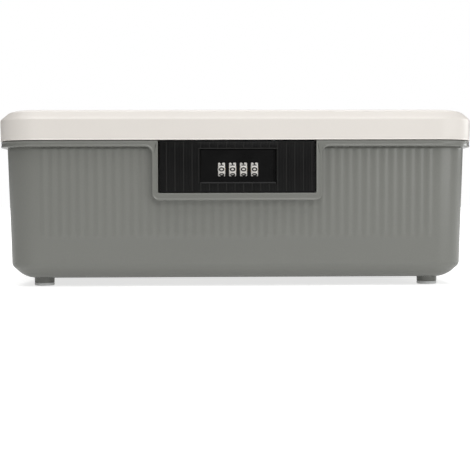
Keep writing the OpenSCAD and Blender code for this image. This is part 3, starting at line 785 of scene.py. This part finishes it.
GLYPH = {
    0: [(arc(0, 0, 1.5, 1.14, 90, 450, 30), True)],
    1: [([(-0.85, 0.62), (0.0, 1.2), (0.0, -1.2)], False), ([(-1.35, -1.2), (1.35, -1.2)], False)],
    2: [(arc(0, 0.42, 1.3, 0.8, 165, -35, 14) + [(-1.3, -1.2), (1.4, -1.2)], False)],
    3: [(arc(0, 0.6, 1.2, 0.62, 155, -80, 12) + arc(0, -0.6, 1.35, 0.64, 80, -155, 12), False)],
    4: [([(0.55, -1.25), (0.55, 1.25), (-1.4, -0.5), (1.4, -0.5)], False)],
    5: [([(1.2, 1.22), (-1.1, 1.22), (-1.2, 0.15)] + arc(0, -0.42, 1.3, 0.78, 130, -150, 14), False)],
    6: [(arc(0.25, 0.0, 1.6, 1.2, 75, 180, 8) + arc(0, -0.48, 1.38, 0.74, 180, 520, 20), False)],
    7: [([(-1.3, 1.2), (1.3, 1.2), (0.1, -0.2), (-0.25, -1.25)], False)],
    8: [(arc(0, 0.62, 1.15, 0.58, -90, 270, 22), True), (arc(0, -0.58, 1.38, 0.62, 90, 450, 22), True)],
    9: [(arc(0, 0.48, 1.38, 0.74, 0, 340, 20)[::-1] + arc(-0.25, 0.0, 1.6, 1.2, 0, -105, 8), False)],
}


def numerals(i):
    """The ten numbers, as bold raised strokes on the wheel."""
    verts, faces = [], []
    w, r0, r1 = 0.48, DIAL_R - 0.1, DIAL_R + 0.045
    for d, strokes in GLYPH.items():
        for pts, closed in strokes:
            if closed:
                pts = pts[:-1]
            n = len(pts)
            dense = []
            for k in range(n if closed else n - 1):
                p, q = pts[k], pts[(k + 1) % n]
                steps = max(1, int(math.hypot(q[0] - p[0], q[1] - p[1]) / 0.3))
                dense += [(p[0] + (q[0] - p[0]) * t / steps, p[1] + (q[1] - p[1]) * t / steps) for t in range(steps)]
            if not closed:
                dense.append(pts[-1])
            pts, n, b = dense, len(dense), len(verts)
            for k in range(n):
                if closed:
                    p, q = pts[k - 1], pts[(k + 1) % n]
                else:
                    p, q = pts[max(0, k - 1)], pts[min(n - 1, k + 1)]
                dx, dy = q[0] - p[0], q[1] - p[1]
                l = math.hypot(dx, dy) or 1.0
                nx, ny = -dy / l * w, dx / l * w
                ex = ey = 0.0
                if not closed and k in (0, n - 1):
                    g = -1 if k == 0 else 1
                    ex, ey = g * dx / l * 0.16, g * dy / l * 0.16
                for sx, r in ((1, r0), (1, r1 - 0.03), (0.82, r1), (-0.82, r1), (-1, r1 - 0.03), (-1, r0)):
                    x, s = pts[k][0] + ex + nx * sx, pts[k][1] + ey + ny * sx
                    a = math.radians(36 * d) + s * 0.92 / DIAL_R
                    verts.append((DIAL_X[i] + x, DIAL_Y - r * math.cos(a), DIAL_Z + r * math.sin(a)))
            for k in range(n if closed else n - 1):
                k2 = (k + 1) % n
                for q in range(6):
                    v = (q + 1) % 6
                    faces.append([b + k * 6 + q, b + k * 6 + v, b + k2 * 6 + v, b + k2 * 6 + q])
            if not closed:
                faces.append([b + q for q in range(6)])
                faces.append([b + (n - 1) * 6 + q for q in reversed(range(6))])
    me = bpy.data.meshes.new("wheel_numerals_%d" % (i + 1))
    me.from_pydata([(x * MM, y * MM, z * MM) for x, y, z in verts], [], faces)
    bm = bmesh.new()
    bm.from_mesh(me)
    bmesh.ops.recalc_face_normals(bm, faces=bm.faces)
    bm.to_mesh(me)
    bm.free()
    ob = bpy.data.objects.new(me.name, me)
    scene.collection.objects.link(ob)
    piece(ob, INK, "dial_%d" % (i + 1), sharp=40.0, weighted=False)


for i in range(4):
    dial(i)
    numerals(i)

# ---------------------------------------------------------------- foot plugs
names = ["foot_plug_front_left", "foot_plug_front_right", "foot_plug_rear_left", "foot_plug_rear_right"]
for (x, y), node in zip(FOOT, names):
    prof = [(0.0, 0.12), (4.6, 0.12), (5.0, 0.0), (6.1, 0.0)] + bez((6.1, 0.0), (7.0, 0.0), (7.0, 0.95), 6)
    prof += [(7.0, 1.7), (6.9, 2.05), (6.6, 2.2), (5.0, 2.2), (4.9, 3.0), (4.75, 3.4), (4.9, 3.8), (4.62, 4.6), (4.4, 5.0), (4.5, 5.4), (4.1, 6.5), (3.95, 6.85), (3.6, 7.0), (0.0, 7.0)]
    ob = lathe(node.replace("foot_plug", "silicone_plug"), prof, (x, y, 0.0), n=72)
    piece(ob, PLUG, "tub", [node], sharp=45.0)

# ---------------------------------------------------------------- lock housing inside the tub
house = rounded_box("lock_housing", (-38.0, -107.0, 66.0), (38.0, -96.4, 100.5), 1.1, 4)
more = [rounded_box("lip", (-35.8, -110.4, 98.9), (35.8, -106.0, 100.5), 0.2, 2)]
for s in (-1, 1):
    for z in SCREW_Z:
        more.append(rounded_box("lug", (min(s * 36, s * 50), -107.0, z - 4.5), (max(s * 36, s * 50), -105.0, z + 4.5), 0.7, 3))
    more.append(prism("gusset", [(s * 37.5, -105.3), (s * 41.0, -105.3), (s * 37.5, -99.0)], "z", 81.2, 83.8, 0.2))
# stiffening ribs on its rear wall
for x in (-31.0, 31.0):
    more.append(rounded_box("stiffener", (x - 0.8, -97.4, 70.0), (x + 0.8, -96.4, 96.5), 0.25, 2))
house = combine(house, more, "UNION")
cut = [rounded_box("room", (-36.4, -108.5, 67.6), (36.4, -98.0, 98.9), 0.4, 2)]
for s in (-1, 1):
    x = s * 26.0
    cut.append(rounded_box("ear_way", (x - 1.9, -107.2, 97.0), (x + 1.9, -98.9, 102.0), 0.0))
for x in (-SCREW_X, SCREW_X):
    for z in SCREW_Z:
        cut.append(post("lug_hole", x, -110.0, -100.0, z, 1.6))
for x in (-21.0, 27.0):
    cut.append(post("rivet_hole", x, -99.0, -95.0, DIAL_Z, 1.2))
house = combine(house, cut, "DIFFERENCE")
house = tidy(combine(house, [rounded_box("ledge_a", (-22.0, -108.8, 96.1), (22.0, -107.3, 99.7), 0.2, 2),
                             rounded_box("ledge_b", (-22.0, -106.9, 66.7), (22.0, -105.5, 70.9), 0.2, 2),
                             rounded_box("ledge_c", (-22.0, -108.8, 68.8), (22.0, -106.5, 70.9), 0.2, 2)], "UNION"))
piece(house, COVER, "tub", ["lock_cover"], sharp=30.0)

# ---------------------------------------------------------------- steel hasp under the lid
def strip_outline(x0, x1, y0, y1, r):
    pts = []
    for cx, cy, a0 in ((x0 + r, y0 + r, 180), (x1 - r, y0 + r, 270), (x1 - r, y1 - r, 0), (x0 + r, y1 - r, 90)):
        for k in range(7):
            a = math.radians(a0 + 15 * k)
            pts.append((cx + r * math.cos(a), cy + r * math.sin(a)))
    return pts


hasp = prism("hasp_strip", strip_outline(-38.5, 38.5, -108.4, -99.6, 2.0), "z", 103.2, 104.7, 0.18, steps=2)
more = []
for s in (-26.0, 26.0):
    ear = [(-106.4, 103.6), (-106.4, 88.2)]
    ear += [(-106.4 + 2.2 - 2.2 * math.cos(math.radians(a)), 88.2 - 2.2 * math.sin(math.radians(a))) for a in range(15, 91, 15)]
    ear += [(-102.4 + 2.2 * math.sin(math.radians(a)), 88.2 - 2.2 * math.cos(math.radians(a))) for a in range(0, 91, 15)]
    ear += [(-100.2, 103.6)]
    more.append(prism("ear", ear, "x", s - 0.75, s + 0.75, 0.15, steps=2))
hasp = combine(hasp, more, "UNION")
cut = []
for s in (-26.0, 26.0):
    hole = [(-103.5 + px, 90.2 + pz) for px, pz in strip_outline(-1.9, 1.9, -1.9, 1.9, 0.7)]
    cut.append(prism("eye", hole, "x", s - 2, s + 2, 0.0))
for s in (-34.0, 34.0):
    cut.append(lathe("hasp_hole", [(0.0, 102.0), (1.6, 102.0), (1.6, 106.0), (0.0, 106.0)], (s, -104.2, 0.0), n=32))
hasp = tidy(combine(hasp, cut, "DIFFERENCE"))
piece(hasp, ZINC, "lid", ["lid_hasp"], sharp=30.0)

# ---------------------------------------------------------------- small metal parts keep their CAD shape
FINISH = {"hinge_pin_left": DRAWN, "hinge_pin_right": DRAWN, "lock_screws": SCREW, "comb_bar": ZINC, "comb_rivets": RIVET,
          "slide_detent": SPRING, "dial_axle": DRAWN, "detent_spring": SPRING, "lock_bolt": ZINC, "bolt_screws": SCREW,
          "gate_hub_1": BRASS, "gate_hub_2": BRASS, "gate_hub_3": BRASS, "gate_hub_4": BRASS, "hasp_screws": SCREW}
for node, mat in FINISH.items():
    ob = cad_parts[node]
    if not ob.material_slots:
        ob.data.materials.append(mat)
    for s in ob.material_slots:
        s.material = mat

# ---------------------------------------------------------------- floor, light, camera
fm, nt, s, co = new_material("floor_paper")
nt.links.new(ramp(nt, noise(nt, co, 3.0, 2.0), [(0.3, lin((204, 204, 203))), (0.7, lin((207, 207, 206)))]), s.inputs["Base Color"])
s.inputs["Roughness"].default_value = 0.85
s.inputs["Specular IOR Level"].default_value = 0.2
s.inputs["Emission Color"].default_value = (1.0, 1.0, 1.0, 1.0)
# the paper turns into an evenly lit white background away from the box
away = nt.nodes.new("ShaderNodeVectorMath")
away.operation = "LENGTH"
nt.links.new(co, away.inputs[0])
sides = nt.nodes.new("ShaderNodeSeparateXYZ")
nt.links.new(co, sides.inputs[0])
glow = nt.nodes.new("ShaderNodeMath")
glow.operation = "MULTIPLY"
nt.links.new(to_range(nt, away.outputs["Value"], 0.0, 0.85, 0.2, 1.6), glow.inputs[0])
nt.links.new(to_range(nt, sides.outputs["Y"], 0.5, 1.0, -0.8, 0.2), glow.inputs[1])
total = nt.nodes.new("ShaderNodeMath")
total.inputs[1].default_value = 0.7
nt.links.new(glow.outputs[0], total.inputs[0])
# white for the eye, a quieter source of light for the box
looked = nt.nodes.new("ShaderNodeLightPath")
share = nt.nodes.new("ShaderNodeMath")
share.operation = "MULTIPLY"
nt.links.new(total.outputs[0], share.inputs[0])
nt.links.new(to_range(nt, looked.outputs["Is Camera Ray"], 0.45, 1.0, 0.0, 1.0), share.inputs[1])
# a brighter patch just in front of the box
wide = nt.nodes.new("ShaderNodeMath")
wide.operation = "ABSOLUTE"
nt.links.new(sides.outputs["X"], wide.inputs[0])
patch = nt.nodes.new("ShaderNodeMath")
patch.operation = "MULTIPLY"
nt.links.new(to_range(nt, sides.outputs["Y"], 0.0, 0.35, -0.40, -0.24), patch.inputs[0])
nt.links.new(to_range(nt, sides.outputs["Y"], 0.5, 0.0, -0.115, -0.09), patch.inputs[1])
inside = nt.nodes.new("ShaderNodeMath")
inside.operation = "MULTIPLY"
nt.links.new(patch.outputs[0], inside.inputs[0])
nt.links.new(to_range(nt, wide.outputs[0], 1.0, 0.0, 0.15, 0.30), inside.inputs[1])
both = nt.nodes.new("ShaderNodeMath")
nt.links.new(share.outputs[0], both.inputs[0])
nt.links.new(inside.outputs[0], both.inputs[1])
nt.links.new(both.outputs[0], s.inputs["Emission Strength"])
bm = bmesh.new()
bmesh.ops.create_circle(bm, cap_ends=True, radius=14.0, segments=96)
me = bpy.data.meshes.new("studio_floor")
bm.to_mesh(me)
bm.free()
me.materials.append(fm)
floor = bpy.data.objects.new("studio_floor", me)
scene.collection.objects.link(floor)

world = bpy.data.worlds.new("studio")
scene.world = world
world.use_nodes = True
nt = world.node_tree
# a white backdrop, and a much dimmer one as the light of the room
backdrop = nt.nodes["Background"]
backdrop.inputs["Color"].default_value = (1.0, 1.0, 1.0, 1.0)
room = nt.nodes.new("ShaderNodeBackground")
room.inputs["Color"].default_value = (1.0, 0.998, 0.994, 1.0)
room.inputs["Strength"].default_value = 0.14
seen = nt.nodes.new("ShaderNodeLightPath")
either = nt.nodes.new("ShaderNodeMixShader")
nt.links.new(seen.outputs["Is Camera Ray"], either.inputs[0])
nt.links.new(room.outputs[0], either.inputs[1])
nt.links.new(backdrop.outputs[0], either.inputs[2])
nt.links.new(either.outputs[0], nt.nodes["World Output"].inputs["Surface"])


def area(name, place, target, size, power, colour=(1.0, 1.0, 1.0)):
    light = bpy.data.lights.new(name, "AREA")
    light.shape = "RECTANGLE"
    light.size, light.size_y = size
    light.energy = power
    light.color = colour
    ob = bpy.data.objects.new(name, light)
    ob.location = place
    ob.rotation_euler = (Vector(target) - Vector(place)).to_track_quat("-Z", "Y").to_euler()
    ob.visible_camera = False
    scene.collection.objects.link(ob)
    return ob


def polar(azimuth, height, far):
    """A place seen from the box at an azimuth, 0 being the front, and a height above the level, degrees."""
    a, e = math.radians(azimuth), math.radians(height)
    return (far * math.cos(e) * math.sin(a), -0.05 - far * math.cos(e) * math.cos(a), 0.06 + far * math.sin(e))


BOX = (0.0, -0.05, 0.06)
area("top_softbox", (0.0, 0.0, 1.6), (0.0, 0.0, 0.1), (1.8, 1.4), 6.0)
area("key_softbox", polar(2, 70, 1.6), BOX, (1.6, 1.0), 10.6)
area("front_softbox", polar(16, 30, 1.7), BOX, (1.1, 0.8), 9.5)
area("right_softbox", polar(75, 22, 1.6), BOX, (0.8, 0.8), 1.8)
area("right_low_softbox", polar(49, 3.2, 1.6), BOX, (1.0, 0.28), 2.4)
area("right_rim_softbox", polar(114, 14, 1.5), BOX, (0.5, 0.5), 5.0)
area("left_softbox", polar(-62, 60, 1.6), BOX, (0.9, 0.8), 3.7)
area("back_softbox", polar(180, 38, 1.7), BOX, (1.4, 0.8), 6.0)

cam_data = bpy.data.cameras.new("camera")
cam_data.sensor_width = 36.0
cam_data.lens = 36.0 * 1172.1 / 470.0
cam_data.clip_start, cam_data.clip_end = 0.05, 60.0
cam = bpy.data.objects.new("camera", cam_data)
cam.location = (-0.021, -0.915, 0.058)
turn = Matrix.Rotation(math.radians(-1.384), 3, "Z") @ Matrix.Rotation(math.radians(90.0 - 1.568), 3, "X") @ Matrix.Rotation(math.radians(-0.166), 3, "Z")
cam.rotation_euler = turn.to_euler()
scene.collection.objects.link(cam)
scene.camera = cam

scene.view_settings.view_transform = "Standard"
scene.view_settings.look = "None"
scene.view_settings.exposure = 0.0
scene.view_settings.gamma = 1.0
